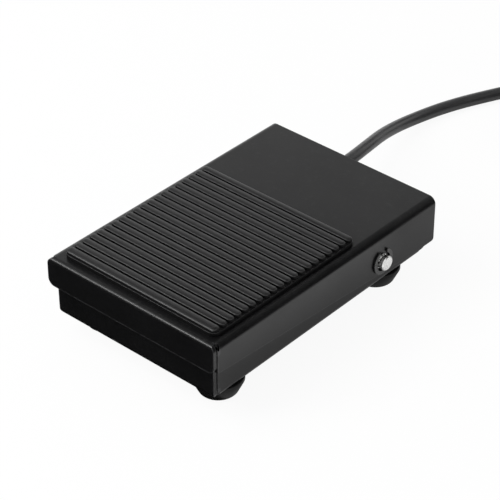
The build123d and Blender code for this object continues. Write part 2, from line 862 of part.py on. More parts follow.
nodes = {
    "pedal_cover": at_rest(make_cover()),
    "tread_pad": at_rest(make_pad()),
    "spring_cap": make_spring_cap(),
    "base_tray": make_tray(),
    "hinge_pin": make_pin(),
    "right_clip": make_clip(1),
    "left_clip": make_clip(-1),
    "foot_screws": group([Pos(x, y, 0) * make_foot_screw() for x, y in foot_places()]),
    "foot_nuts": group([Pos(x, y, 0) * foot_nut for x, y in foot_places()]),
    "spring_seat": make_spring_seat(),
    "return_spring": make_spring(),
    "switch_case": make_switch_case(),
    "switch_lid": make_switch_lid(),
    "switch_plunger": make_plunger(),
    "switch_lever": make_lever(),
    "lever_pin": cross_bar(
        lever_pin_diameter / 2,
        -lever_width / 2 - running_gap - lug_thickness,
        lever_width / 2 + running_gap + lug_thickness,
        lever_pin_y,
        lever_pin_z,
    ),
    "common_terminal": make_terminal(common_y),
    "open_terminal": make_terminal(open_y),
    "closed_terminal": make_terminal(closed_y),
    "switch_bracket": make_bracket(),
    "bracket_rivets": group([make_bracket_rivet(y) for y in bracket_rivet_places()]),
    "switch_screws": group([make_switch_screw(y) for y in switch_screw_places()]),
    "switch_nuts": group([make_switch_nut(y) for y in switch_screw_places()]),
    "cable_grommet": make_bush(),
    "clamp_block": make_grip_block(),
    "clamp_bar": make_grip_bar(),
    "clamp_screws": group([make_grip_screw(x) for x in grip_screw_places()]),
    "inner_cable": along_rear(cable_radius, grip_y - grip_length / 2 - inner_cable_end, cable_start),
    "common_wire": make_wire(0, common_y),
    "open_wire": make_wire(1, open_y),
    "closed_wire": make_wire(2, closed_y),
    "cable": make_cable(),
    "cable_coil": make_coil(),
    "core_ends": make_cores(wire_diameter / 2, 0, core_length),
    "core_tips": make_cores(core_tip_diameter / 2, core_length, core_length + core_tip_length),
}
for name, (x, y) in zip(foot_names, foot_places()):
    nodes[name] = Pos(x, y, 0) * make_foot()

os.makedirs("parts", exist_ok=True)
for name, piece in nodes.items():
    export_step(piece, f"parts/{name}.step")
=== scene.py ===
import json
from math import cos, pi, radians, sin

import bmesh
import bpy
from mathutils import Matrix, Vector


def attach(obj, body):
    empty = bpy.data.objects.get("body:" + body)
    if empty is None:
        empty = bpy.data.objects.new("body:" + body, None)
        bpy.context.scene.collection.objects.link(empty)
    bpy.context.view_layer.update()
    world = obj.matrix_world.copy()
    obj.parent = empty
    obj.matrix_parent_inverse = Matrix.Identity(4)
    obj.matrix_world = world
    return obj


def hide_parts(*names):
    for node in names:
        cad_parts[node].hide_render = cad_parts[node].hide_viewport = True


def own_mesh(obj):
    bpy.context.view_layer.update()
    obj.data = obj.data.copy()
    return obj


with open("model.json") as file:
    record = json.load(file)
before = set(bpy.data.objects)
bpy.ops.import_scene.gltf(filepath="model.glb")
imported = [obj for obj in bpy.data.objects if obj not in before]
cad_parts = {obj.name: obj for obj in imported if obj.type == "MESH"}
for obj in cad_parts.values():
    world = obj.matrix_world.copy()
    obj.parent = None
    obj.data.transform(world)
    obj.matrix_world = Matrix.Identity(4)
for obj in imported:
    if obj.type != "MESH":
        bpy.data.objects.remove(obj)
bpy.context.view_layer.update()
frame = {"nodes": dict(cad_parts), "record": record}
mm = 0.001
near = 1e-3  # mm, how close two heights or radii count as one
scene = bpy.context.scene
scene.view_settings.view_transform = "Standard"


def addObject(name, data):
    item = bpy.data.objects.new(name, data)
    scene.collection.objects.link(item)
    return item


# The camera that the photograph was taken with, solved from the cover's straight edges
photoCamera = {
    "lens": 156.85,
    "sensor": 36.0,
    "nearest": 0.01,
    "place": (0.37073, -0.40950, 0.41661),
    "right": (0.74749824, 0.66420275, -0.00900458),
    "up": (-0.38298663, 0.44201232, 0.81113892),
    "back": (0.54274084, -0.60287628, 0.5847842),
}


def addCamera(values):
    data = bpy.data.cameras.new("photoCamera")
    data.lens = values["lens"]
    data.sensor_width = values["sensor"]
    data.clip_start = values["nearest"]
    camera = addObject("photoCamera", data)
    turn = Matrix((values["right"], values["up"], values["back"])).transposed().to_4x4()
    camera.matrix_world = Matrix.Translation(values["place"]) @ turn
    scene.camera = camera


addCamera(photoCamera)
print("camera placed")


# Node trees: a few short helpers, then the effects that several finishes share

def setInputs(node, **values):
    for key, value in values.items():
        node.inputs[key.replace("_", " ")].default_value = value
    return node


def addNode(tree, kind, **values):
    return setInputs(tree.nodes.new(kind), **values)


def link(tree, source, target):
    tree.links.new(source, target)


def maths(tree, operation, first, second=None):
    node = addNode(tree, "ShaderNodeMath")
    node.operation = operation
    for socket, value in zip(node.inputs, (first, second)):
        if value is None:
            continue
        if isinstance(value, (int, float)):
            socket.default_value = value
        else:
            link(tree, value, socket)
    return node.outputs[0]


def mapped(tree, value, low, high, newLow=0.0, newHigh=1.0):
    node = addNode(tree, "ShaderNodeMapRange", From_Min=low, From_Max=high, To_Min=newLow,
                   To_Max=newHigh)
    node.interpolation_type = "SMOOTHSTEP"
    link(tree, value, node.inputs["Value"])
    return node.outputs["Result"]


def addNoise(tree, scale, detail, roughness):
    where = addNode(tree, "ShaderNodeTexCoord")
    noise = addNode(tree, "ShaderNodeTexNoise", Detail=detail, Roughness=roughness)
    link(tree, where.outputs["Object"], noise.inputs["Vector"])
    link(tree, scale, noise.inputs["Scale"])
    return noise.outputs["Fac"]


def startGroup(name, inputs, outputs):
    tree = bpy.data.node_groups.new(name, "ShaderNodeTree")
    kind = "NodeSocketFloat"
    for label, value in inputs.items():
        socket = tree.interface.new_socket(name=label, in_out="INPUT", socket_type=kind)
        socket.default_value = value
    for label in outputs:
        tree.interface.new_socket(name=label, in_out="OUTPUT", socket_type=kind)
    return tree, addNode(tree, "NodeGroupInput"), addNode(tree, "NodeGroupOutput")


fineGrain = {"detail": 3.0, "roughness": 0.6, "patchDetail": 4.0, "patchRoughness": 0.55}


def buildGrainGroup(values):
    # Fine, even skin of a sprayed or moulded surface, with broader patches in it
    tree, given, result = startGroup(
        "fineGrain", {"Scale": 1500.0, "Patch Scale": 45.0}, ["Grain", "Patches"]
    )
    grain = addNoise(tree, given.outputs["Scale"], values["detail"], values["roughness"])
    patches = addNoise(tree, given.outputs["Patch Scale"], values["patchDetail"],
                       values["patchRoughness"])
    link(tree, grain, result.inputs["Grain"])
    link(tree, patches, result.inputs["Patches"])
    return tree


# Outer edges made lighter: part rubbed wear, part a painted highlight along them
wearAndHighlightEdge = {
    "samples": 6, "flat": 0.985, "sharp": 0.86,  # cosines of the turn of the rounded normal
    "detail": 4.0, "roughness": 0.65, "breakLow": 0.25, "breakHigh": 0.60, "leastShare": 0.15,
}


def buildEdgeGroup(values):
    # Mask of the outer edges, broken up as rubbing breaks them up; it lays on rubbed wear and a
    # painted edge highlight
    tree, given, result = startGroup(
        "wearAndHighlightEdge", {"Width": 0.0004, "Break Scale": 400.0}, ["Mask"]
    )
    rounded = addNode(tree, "ShaderNodeBevel")
    rounded.samples = values["samples"]
    link(tree, given.outputs["Width"], rounded.inputs["Radius"])
    flat = addNode(tree, "ShaderNodeNewGeometry")
    across = addNode(tree, "ShaderNodeVectorMath")
    across.operation = "DOT_PRODUCT"
    link(tree, rounded.outputs["Normal"], across.inputs[0])
    link(tree, flat.outputs["Normal"], across.inputs[1])
    edge = mapped(tree, across.outputs["Value"], values["flat"], values["sharp"])
    breaks = addNoise(tree, given.outputs["Break Scale"], values["detail"], values["roughness"])
    broken = mapped(tree, breaks, values["breakLow"], values["breakHigh"], values["leastShare"])
    link(tree, maths(tree, "MULTIPLY", edge, broken), result.inputs["Mask"])
    return tree


settledDust = {
    "dustLow": 0.2, "dustHigh": 0.95, "polishLow": 0.1, "polishHigh": 0.6,  # the normal's Z
    "detail": 6.0, "roughness": 0.7, "speckLow": 0.5, "speckHigh": 0.78,
}


def buildDustGroup(values):
    # Mask of what settles on faces that look up, and a plainer mask of those faces
    tree, given, result = startGroup("settledDust", {"Scale": 300.0}, ["Mask", "Upward"])
    flat = addNode(tree, "ShaderNodeNewGeometry")
    parts = addNode(tree, "ShaderNodeSeparateXYZ")
    link(tree, flat.outputs["Normal"], parts.inputs[0])
    level = mapped(tree, parts.outputs["Z"], values["dustLow"], values["dustHigh"])
    specks = addNoise(tree, given.outputs["Scale"], values["detail"], values["roughness"])
    spotted = mapped(tree, specks, values["speckLow"], values["speckHigh"])
    upward = mapped(tree, parts.outputs["Z"], values["polishLow"], values["polishHigh"])
    link(tree, maths(tree, "MULTIPLY", level, spotted), result.inputs["Mask"])
    link(tree, upward, result.inputs["Upward"])
    return tree


def buildTurnedGroup():
    # Fine rings left by a lathe tool, around the hinge pin's own line
    tree, given, result = startGroup(
        "turnedRings", {"Scale": 9000.0, "Centre Y": 0.0, "Centre Z": 0.0}, ["Height"]
    )
    where = addNode(tree, "ShaderNodeTexCoord")
    parts = addNode(tree, "ShaderNodeSeparateXYZ")
    link(tree, where.outputs["Object"], parts.inputs[0])
    y = maths(tree, "SUBTRACT", parts.outputs["Y"], given.outputs["Centre Y"])
    z = maths(tree, "SUBTRACT", parts.outputs["Z"], given.outputs["Centre Z"])
    squares = maths(tree, "ADD", maths(tree, "MULTIPLY", y, y), maths(tree, "MULTIPLY", z, z))
    radius = maths(tree, "SQRT", squares)
    wave = maths(tree, "SINE", maths(tree, "MULTIPLY", radius, given.outputs["Scale"]))
    link(tree, mapped(tree, wave, -1.0, 1.0), result.inputs["Height"])
    return tree


sharedEffects = {
    "grain": buildGrainGroup(fineGrain),
    "edge": buildEdgeGroup(wearAndHighlightEdge),
    "dust": buildDustGroup(settledDust),
    "rings": buildTurnedGroup(),
}


def useEffect(tree, name, **values):
    node = addNode(tree, "ShaderNodeGroup")
    node.node_tree = sharedEffects[name]
    return setInputs(node, **values)


def blendColour(tree, mask, first, second):
    node = addNode(tree, "ShaderNodeMix")
    node.data_type = "RGBA"
    link(tree, mask, node.inputs["Factor"])
    for socket, value in ((node.inputs["A"], first), (node.inputs["B"], second)):
        if isinstance(value, tuple):
            socket.default_value = (*value, 1.0)
        else:
            link(tree, value, socket)
    return node.outputs["Result"]


# Finishes: each starts from the grain and its patches, which vary the colour and the gloss

patchRange = (0.3, 0.7)  # the part of the patch noise that varies the gloss


def startFinish(name, values, **settings):
    material = bpy.data.materials.new(name)
    material.use_nodes = True
    tree = material.node_tree
    shader = setInputs(tree.nodes["Principled BSDF"], **settings)
    grain = useEffect(tree, "grain", Scale=values["grainScale"], Patch_Scale=values["patchScale"])
    patches = grain.outputs["Patches"]
    colour = blendColour(tree, patches, values["colour"], values["patchColour"])
    gloss = mapped(tree, patches, *patchRange, *values["roughness"])
    link(tree, gloss, shader.inputs["Roughness"])
    return material, tree, shader, grain.outputs["Grain"], colour


def addBump(tree, shader, height, values):
    bump = addNode(tree, "ShaderNodeBump", Strength=values["bump"], Distance=values["bumpDepth"])
    link(tree, height, bump.inputs["Height"])
    link(tree, bump.outputs["Normal"], shader.inputs["Normal"])


def addDust(tree, shader, colour, values):
    dust = useEffect(tree, "dust", Scale=values["dustScale"])
    share = maths(tree, "MULTIPLY", dust.outputs["Mask"], values["dustShare"])
    link(tree, blendColour(tree, share, colour, values["dust"]), shader.inputs["Base Color"])
    return dust


blackPaint = {
    "colour": (0.0038, 0.0038, 0.0040),
    "patchColour": (0.0058, 0.0058, 0.0061),
    # the edges' lighter colour: rubbed paint and a painted highlight
    "wearAndHighlight": (0.05, 0.05, 0.052),
    "wearAndHighlightShare": 0.75,
    "wearAndHighlightWidth": 0.0008,
    "breakScale": 400.0,
    "dust": (0.09, 0.09, 0.088),
    "dustShare": 0.10,
    "dustScale": 500.0,
    "specular": 0.32,
    "roughness": (0.28, 0.36),
    "grainScale": 2600.0,
    "patchScale": 60.0,
    "bump": 0.10,
    "bumpDepth": 0.0001,
}


def makePaint(name, values):
    material, tree, shader, grain, colour = startFinish(
        name, values, Specular_IOR_Level=values["specular"]
    )
    # outer edges lighter, as rubbed wear and as a painted highlight
    edge = useEffect(tree, "edge", Width=values["wearAndHighlightWidth"], Break_Scale=values["breakScale"])
    wearAndHighlight = maths(tree, "MULTIPLY", edge.outputs["Mask"], values["wearAndHighlightShare"])
    colour = blendColour(tree, wearAndHighlight, colour, values["wearAndHighlight"])
    addDust(tree, shader, colour, values)
    addBump(tree, shader, grain, values)
    return material


mouldedRubber = {
    "colour": (0.0035, 0.0035, 0.0037),
    "patchColour": (0.0065, 0.0065, 0.0067),
    "dust": (0.09, 0.09, 0.088),
    "dustShare": 0.06,
    "dustScale": 700.0,
    "specular": 0.06,
    "roughness": (0.36, 0.44),
    "polish": 0.80,
    "polishRoughness": 0.40,
    "grainScale": 1800.0,
    "patchScale": 80.0,
    "bump": 0.18,
    "bumpDepth": 0.0001,
}


def makeRubber(name, values):
    material, tree, shader, grain, colour = startFinish(
        name, values, Specular_IOR_Level=values["specular"],
        Coat_Roughness=values["polishRoughness"]
    )
    dust = addDust(tree, shader, colour, values)
    if values["polish"]:  # what faces up is polished by shoes, and the upright sides stay dull
        polished = mapped(tree, dust.outputs["Upward"], 0.0, 1.0, 0.0, values["polish"])
        link(tree, polished, shader.inputs["Coat Weight"])
    addBump(tree, shader, grain, values)
    return material


platedSteel = {
    "colour": (0.60, 0.60, 0.58),
    "patchColour": (0.50, 0.50, 0.49),
    "roughness": (0.24, 0.36),
    "grainScale": 1200.0,
    "patchScale": 250.0,
    "bump": 0.08,
    "bumpDepth": 0.0001,
}

turnedSteel = {
    "colour": (0.80, 0.80, 0.79),
    "patchColour": (0.69, 0.69, 0.68),
    "roughness": (0.20, 0.30),
    "grainScale": 1500.0,
    "patchScale": 400.0,
    "ringScale": 24000.0,
    "centreY": 0.025423,
    "centreZ": 0.0167,
    "bump": 0.15,
    "bumpDepth": 0.00004,
}


def makeSteel(name, values):
    material, tree, shader, height, colour = startFinish(name, values, Metallic=1.0)
    link(tree, colour, shader.inputs["Base Color"])
    if "ringScale" in values:  # a lathe's rings stand in for the grain
        rings = useEffect(tree, "rings", Scale=values["ringScale"], Centre_Y=values["centreY"],
                          Centre_Z=values["centreZ"])
        height = rings.outputs["Height"]
    addBump(tree, shader, height, values)
    return material


mouldedPlastic = {
    "colour": (0.015, 0.015, 0.016),
    "patchColour": (0.022, 0.022, 0.023),
    "dust": (0.2, 0.2, 0.19),
    "dustShare": 0.08,
    "dustScale": 900.0,
    "specular": 0.5,
    "roughness": (0.42, 0.52),
    "grainScale": 900.0,
    "patchScale": 120.0,
    "bump": 0.12,
    "bumpDepth": 0.0001,
}


def makePlastic(name, values):
    material, tree, shader, grain, colour = startFinish(
        name, values, Specular_IOR_Level=values["specular"]
    )
    addDust(tree, shader, colour, values)
    addBump(tree, shader, grain, values)
    return material


finishes = {
    "black_paint": makePaint("satinBlackPaint", blackPaint),
    "tread_rubber": makeRubber("treadRubber", mouldedRubber),
    "foot_rubber": makeRubber("footRubber", {
        **mouldedRubber, "colour": (0.004, 0.004, 0.004), "patchColour": (0.008, 0.008, 0.008),
        "specular": 0.22, "polish": 0.0, "roughness": (0.40, 0.50), "dustShare": 0.02,
    }),
    "bright_steel": makeSteel("zincPlatedSteel", platedSteel),
    "pin_steel": makeSteel("turnedSteel", turnedSteel),
    "clip_steel": makeSteel("phosphatedSteel", {
        **platedSteel, "colour": (0.10, 0.10, 0.10), "patchColour": (0.07, 0.07, 0.07),
        "roughness": (0.26, 0.36),
    }),
    "spring_steel": makeSteel("springSteel", {
        **platedSteel, "colour": (0.42, 0.42, 0.43), "patchColour": (0.34, 0.34, 0.35),
    }),
    "switch_plastic": makePlastic("switchPlastic", mouldedPlastic),
    "plunger_plastic": makePlastic("plungerPlastic", {
        **mouldedPlastic, "colour": (0.42, 0.02, 0.015), "patchColour": (0.5, 0.03, 0.02),
        "roughness": (0.35, 0.45),
    }),
    "tag_brass": makeSteel("stampedBrass", {
        **platedSteel, "colour": (0.78, 0.58, 0.26), "patchColour": (0.66, 0.47, 0.2),
    }),
    "clamp_plastic": makePlastic("clampPlastic", {
        **mouldedPlastic, "colour": (0.03, 0.03, 0.032), "patchColour": (0.04, 0.04, 0.042),
        "roughness": (0.45, 0.55),
    }),
    "lead_jacket": makePlastic("leadJacket", {
        **mouldedPlastic, "colour": (0.024, 0.024, 0.025), "patchColour": (0.032, 0.032, 0.033),
        "roughness": (0.30, 0.40),
    }),
    "black_insulation": makePlastic("blackInsulation", {
        **mouldedPlastic, "colour": (0.015, 0.015, 0.015), "patchColour": (0.022, 0.022, 0.022),
        "roughness": (0.4, 0.5),
    }),
    "blue_insulation": makePlastic("blueInsulation", {
        **mouldedPlastic, "colour": (0.02, 0.08, 0.34), "patchColour": (0.03, 0.1, 0.38),
        "roughness": (0.4, 0.5),
    }),
    "brown_insulation": makePlastic("brownInsulation", {
        **mouldedPlastic, "colour": (0.15, 0.065, 0.03), "patchColour": (0.18, 0.08, 0.04),
        "roughness": (0.4, 0.5),
    }),
    "tinned_copper": makeSteel("tinnedCopper", {
        **platedSteel, "colour": (0.72, 0.70, 0.66), "patchColour": (0.64, 0.60, 0.54),
    }),
}
print("materials made:", len(finishes))


# Meshes: how pieces are named, joined to their bodies, shaded and shaped

meshCare = {
    "merge": 2e-6, "flat": 0.6, "sharp": 32.0, "roundSharp": 50.0,  # metres, then degrees
    "edgeSteps": 2, "flatWeight": 80,
}


def camel(name):
    first, *others = name.split("_")
    return first + "".join(word.capitalize() for word in others)


def bodyOf(node):
    bodies = frame["record"]["behaviour"]["bodies"]
    return next(body for body, nodes in bodies.items() if node in nodes)


def slotOf(node):
    rows = frame["record"]["subparts"]
    return next(row["material_slot"] for row in rows if row["node"] == node)


def addPiece(name, data, nodes, finish=None):
    # One finished piece: its material, the body that it rides on and the nodes that it stands for
    piece = addObject(name, data)
    slot = slotOf(nodes[0])
    data.materials.append(finishes[finish or slot])
    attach(piece, bodyOf(nodes[0]))
    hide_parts(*nodes)
    return piece


def meshFrom(bm, name, sharp=meshCare["sharp"]):
    bmesh.ops.recalc_face_normals(bm, faces=bm.faces)
    for face in bm.faces:
        face.smooth = True
    for edge in bm.edges:
        edge.smooth = len(edge.link_faces) != 2 or edge.calc_face_angle(0.0) < radians(sharp)
    mesh = bpy.data.meshes.new(name)
    bm.to_mesh(mesh)
    bm.free()
    return mesh


def finalMesh(item):
    # What an object looks like with its modifiers, as a mesh of its own; the object goes
    bpy.context.view_layer.update()
    mesh = bpy.data.meshes.new_from_object(
        item.evaluated_get(bpy.context.evaluated_depsgraph_get())
    )
    bpy.data.objects.remove(item)
    return mesh


def mergedCopy(mesh, flat):
    bm = bmesh.new()
    bm.from_mesh(mesh)
    bmesh.ops.remove_doubles(bm, verts=bm.verts, dist=meshCare["merge"])
    bmesh.ops.dissolve_limit(bm, angle_limit=radians(flat), verts=bm.verts, edges=bm.edges)
    return bm


def easeEdges(piece, width):
    bevel = piece.modifiers.new("softEdges", "BEVEL")
    bevel.limit_method = "ANGLE"
    bevel.angle_limit = radians(meshCare["sharp"])
    bevel.width = width * mm
    bevel.segments = meshCare["edgeSteps"]
    bevel.use_clamp_overlap = True
    bevel.harden_normals = True


def evenNormals(piece):
    # Large faces decide the shading, so that flats stay flat next to small rounds
    normals = piece.modifiers.new("faceNormals", "WEIGHTED_NORMAL")
    normals.keep_sharp = True
    normals.weight = meshCare["flatWeight"]


def dressNode(node, edgeWidth=0.0, finish=None):
    # A node whose shape is right: merged, and where a width is given, its sharp edges eased
    bm = mergedCopy(frame["nodes"][node].data, meshCare["flat"])
    piece = addPiece(camel(node), meshFrom(bm, camel(node)), [node], finish)
    if edgeWidth:
        easeEdges(piece, edgeWidth)
    evenNormals(piece)


def spunProfile(bm, points, edges, steps):
    bmesh.ops.spin(bm, geom=points + edges, cent=(0, 0, 0), axis=(0, 0, 1), angle=2 * pi,
                   steps=steps, use_merge=True, use_duplicate=False)


def roundEdges(bm, edges, size, steps):
    bmesh.ops.bevel(bm, geom=edges, offset=size, segments=steps, profile=0.5, affect="EDGES",
                    material=-1)


def turnedBody(profile, rounds, steps):
    # Turned about Z from points of radius and height; rounds gives a point, a size and steps
    bm = bmesh.new()
    points = [bm.verts.new((radius, 0.0, height)) for radius, height in profile]
    edges = [bm.edges.new((a, b)) for a, b in zip(points, points[1:] + points[:1])]
    spunProfile(bm, points, edges, steps)
    bmesh.ops.remove_doubles(bm, verts=bm.verts, dist=near)
    bmesh.ops.recalc_face_normals(bm, faces=bm.faces)
    for index, size, roundSteps in rounds:
        radius, height = profile[index]
        ring = [
            edge for edge in bm.edges
            if all(abs(v.co.z - height) < near and abs(v.co.xy.length - radius) < near
                   for v in edge.verts)
        ]
        roundEdges(bm, ring, size, roundSteps)
    return bm


def setInPlace(bm, matrix):
    # From millimetres around its own middle to metres in the frame
    bmesh.ops.transform(bm, matrix=matrix, verts=bm.verts)
    bmesh.ops.scale(bm, vec=(mm, mm, mm), verts=bm.verts)


# The lead first: its listed route, then the put-away coil by its formula.
# Pieces are in mm and degrees; the stage, and the lead's length and exit, are in metres
lead = {
    "diameter": 4.4,
    "route": [
        (-12.5, 51.32, 13.3), (-12.5, 64.42, 13.3), (-15.2, 79.6, 11.6), (-19.6, 94.2, 7.9),
        (-22.1, 111.2, 3.6), (-18.8, 130.2, 2.25), (-10.5, 148.2, 2.25), (-2.29, 163.32, 2.25),
        (5.34, 173.22, 2.25),
    ],
    "coilMiddle": (33.1, 157.9),
    "coilRadius": 24.0,
    "layerTurns": 3,
    "layers": 4,
    "gap": 0.5,
    "start": 143.13,
    "climbTurns": 0.5,
    "floorGap": 0.05,
    "pointsPerTurn": 16,
    "sides": 7,
    "steps": 6,
    "length": 1.945,
}


def coilPoint(turn, values):
    total = values["layerTurns"] * values["layers"]
    bounded = min(max(turn, 0.0), total)
    leg = min(int(bounded // values["layerTurns"]), values["layers"] - 1)
    into = bounded - leg * values["layerTurns"]
    inward = into if leg % 2 == 0 else values["layerTurns"] - into
    pitch = values["diameter"] + values["gap"]
    radius = values["coilRadius"] + (values["layerTurns"] / 2 - inward) * pitch
    climb = 0.0
    for turnBack in range(1, values["layers"]):
        share = (bounded - turnBack * values["layerTurns"]) / values["climbTurns"] + 0.5
        share = min(max(share, 0.0), 1.0)
        climb += share * share * (3 - 2 * share) * pitch  # a smooth step to the next layer
    angle = radians(values["start"]) - 2 * pi * turn
    x, y = values["coilMiddle"]
    return Vector((
        x + radius * cos(angle), y + radius * sin(angle),
        values["diameter"] / 2 + values["floorGap"] + climb,
    ))


def leadPoints(values):
    total = values["layerTurns"] * values["layers"]
    perTurn = values["pointsPerTurn"]
    points = [Vector(point) for point in values["route"]]
    points += [coilPoint(count / perTurn, values) for count in range(total * perTurn + 1)]
    step = 1e-3  # of a turn
    way = (coilPoint(total, values) - coilPoint(total - step, values)).normalized()
    points.append(points[-1] + way * values["diameter"])
    return [point * mm for point in points], way


def roundCurve(name, points, radius, sides, steps):
    # A round cord or wire along one smooth spline with these control points
    curve = bpy.data.curves.new(name, "CURVE")
    curve.dimensions = "3D"
    curve.bevel_depth = radius
    curve.bevel_resolution = sides
    curve.resolution_u = steps
    curve.use_fill_caps = True
    spline = curve.splines.new("NURBS")
    spline.points.add(len(points) - 1)
    for target, point in zip(spline.points, points):
        target.co = (*point, 1.0)
    spline.order_u = 3
    spline.use_endpoint_u = True
    return curve


leadLine, leadWay = leadPoints(lead)
leadPiece = addPiece(
    "lead", roundCurve("lead", leadLine, lead["diameter"] / 2 * mm, lead["sides"], lead["steps"]),
    ["cable", "cable_coil"]
)

cores = {
    "diameter": 1.3, "tipDiameter": 0.8, "spread": 1.5, "length": 16.0, "tipLength": 6.75,
    "round": 0.12, "roundSteps": 2, "steps": 20,
    "finishes": ["brown_insulation", "black_insulation", "blue_insulation"],
}


def addCores(values, start, way):
    across = Vector((way.y, -way.x, 0.0))
    turn = way.to_track_quat("Z", "Y").to_matrix().to_4x4()
    end = values["length"] + values["tipLength"]
    middle = (len(values["finishes"]) + 1) / 2
    pieces = []
    for number, finish in enumerate(values["finishes"], 1):
        base = start + across * (number - middle) * values["spread"] * mm
        for label, node, low, high, size, skin in (
            ("core", "core_ends", 0.0, values["length"], values["diameter"], finish),
            ("coreTip", "core_tips", values["length"], end, values["tipDiameter"], "tinned_copper"),
        ):
            bm = turnedBody(
                [(0.0, low), (size / 2, low), (size / 2, high), (0.0, high)],
                [(index, values["round"], values["roundSteps"]) for index in (1, 2)],
                values["steps"],
            )
            setInPlace(bm, Matrix.Translation(base / mm) @ turn)
            name = f"{label}{number}"
            pieces.append(addPiece(name, meshFrom(bm, name), [node], skin))
    return pieces


corePieces = addCores(cores, leadLine[-1], leadWay)

bush = {
    "place": (-12.5, 13.3), "inside": 47.323, "wallLow": 48.723, "wallHigh": 49.923,
    "noseStart": 51.323, "noseEnd": 57.823, "bore": 2.25, "flange": 4.7, "neck": 3.6,
    "nose": 3.9, "tip": 3.2, "steps": 56,
    "rounds": [(1, 0.3, 3), (5, 0.35, 3), (6, 0.45, 4), (8, 0.5, 4)],
}


def addBush(values):
    profile = [
        (values["bore"], values["inside"]), (values["flange"], values["inside"]),
        (values["flange"], values["wallLow"]), (values["neck"], values["wallLow"]),
        (values["neck"], values["wallHigh"]), (values["flange"], values["wallHigh"]),
        (values["flange"], values["noseStart"]), (values["nose"], values["noseStart"]),
        (values["tip"], values["noseEnd"]), (values["bore"], values["noseEnd"]),
    ]
    bm = turnedBody(profile, values["rounds"], values["steps"])
    x, z = values["place"]
    setInPlace(bm, Matrix.Translation((x, 0.0, z)) @ Matrix.Rotation(-pi / 2, 4, "X"))
    mesh = meshFrom(bm, "leadBush", meshCare["roundSharp"])
    return addPiece("leadBush", mesh, ["cable_grommet"])


bushPiece = addBush(bush)
print("lead, bush and cores made")


# The cover's pieces are worked out level, with the top at zero, and then set at rest
hinge = {"y": 25.423, "z": 16.7, "fromFront": 77.5, "topRise": 10.3515, "tilt": 0.85}


def coverAtRest(values):
    return (
        Matrix.Translation((0.0, values["y"], values["z"]))
        @ Matrix.Rotation(-radians(values["tilt"]), 4, "X")
        @ Matrix.Translation((0.0, -values["fromFront"], values["topRise"]))
    )


dressNode("pedal_cover")
dressNode("base_tray")
print("cover and tray made")

tread = {
    "width": 62.2, "length": 64.35, "fromFront": 3.2, "offset": 0.6, "slab": 1.35,
    "corner": 2.4, "cornerSteps": 8, "slabRound": 0.14, "slabRoundSteps": 4,
    "ribs": 20, "firstRib": 3.72, "pitch": 3.178, "height": 1.3, "groove": 0.7, "endGap": 0.35,
    "frontReach": 0.47, "frontDrop": 0.4, "crown": 0.11, "shoulder": 0.42, "ridge": 0.2,
    "crownSteps": 4, "shoulderSteps": 5, "endSteps": 32, "flat": 0.3, "sharp": 40.0,
}


def treadSlab(values):
    bm = bmesh.new()
    bmesh.ops.create_cube(bm, size=1.0)
    bmesh.ops.translate(bm, vec=(0.0, 0.0, 0.5), verts=bm.verts)
    bmesh.ops.scale(bm, vec=(values["width"], values["length"], values["slab"]), verts=bm.verts)
    uprights = [e for e in bm.edges if abs(e.verts[0].co.z - e.verts[1].co.z) > near]
    roundEdges(bm, uprights, values["corner"], values["cornerSteps"])
    rim = [e for e in bm.edges if all(abs(v.co.z - values["slab"]) < near for v in e.verts)]
    roundEdges(bm, rim, values["slabRound"], values["slabRoundSteps"])
    return bm


def ribProfile(values):
    # Half of a rib's section: a low crown, a round shoulder and an upright side
    half = (values["pitch"] - values["groove"]) / 2
    top = values["slab"] + values["height"]
    crown, shoulder, ridge = values["crown"], values["shoulder"], values["ridge"]
    across = half - shoulder
    profile = []
    for count in range(values["crownSteps"]):
        radius = ridge + (across - ridge) * count / values["crownSteps"]
        profile.append((radius, top - crown * (radius / across) ** 2))
    for count in range(values["shoulderSteps"] + 1):
        turn = pi / 2 * (1 - count / values["shoulderSteps"])
        profile.append((across + shoulder * cos(turn), top - crown - shoulder * (1 - sin(turn))))
    return profile + [(half, values["slab"] / 2)]


def stadiumBody(profile, apart, steps):
    # A round body from a profile of radius and height, with its two halves moved apart along X
    bm = bmesh.new()
    turn = pi / steps
    points = [
        bm.verts.new((radius * cos(turn), radius * sin(turn), height)) for radius, height in profile
    ]
    edges = [bm.edges.new(pair) for pair in zip(points, points[1:])]
    spunProfile(bm, points, edges, steps)
    bmesh.ops.holes_fill(bm, edges=[edge for edge in bm.edges if edge.is_boundary], sides=0)
    for vert in bm.verts:
        vert.co.x += apart / 2 if vert.co.x > 0 else -apart / 2
    return bm


def ribRow(values, middle):
    # Bull-nosed ribs side by side along the slab; the front one reaches further forward
    half = (values["pitch"] - values["groove"]) / 2
    apart = values["width"] - 2 * values["endGap"] - values["pitch"] + values["groove"]
    row = bmesh.new()
    for number in range(values["ribs"]):
        rib = stadiumBody(ribProfile(values), apart, values["endSteps"])
        if number == 0:
            for vert in rib.verts:
                share = max(-vert.co.y / half, 0.0)
                vert.co.y -= share * values["frontReach"]
                vert.co.z -= share ** 3 * values["frontDrop"]
        y = values["firstRib"] - middle + (number + 0.5) * values["pitch"]
        bmesh.ops.translate(rib, vec=(0.0, y, 0.0), verts=rib.verts)
        mesh = bpy.data.meshes.new("rib")
        rib.to_mesh(mesh)
        rib.free()
        row.from_mesh(mesh)
        bpy.data.meshes.remove(mesh)
    return row


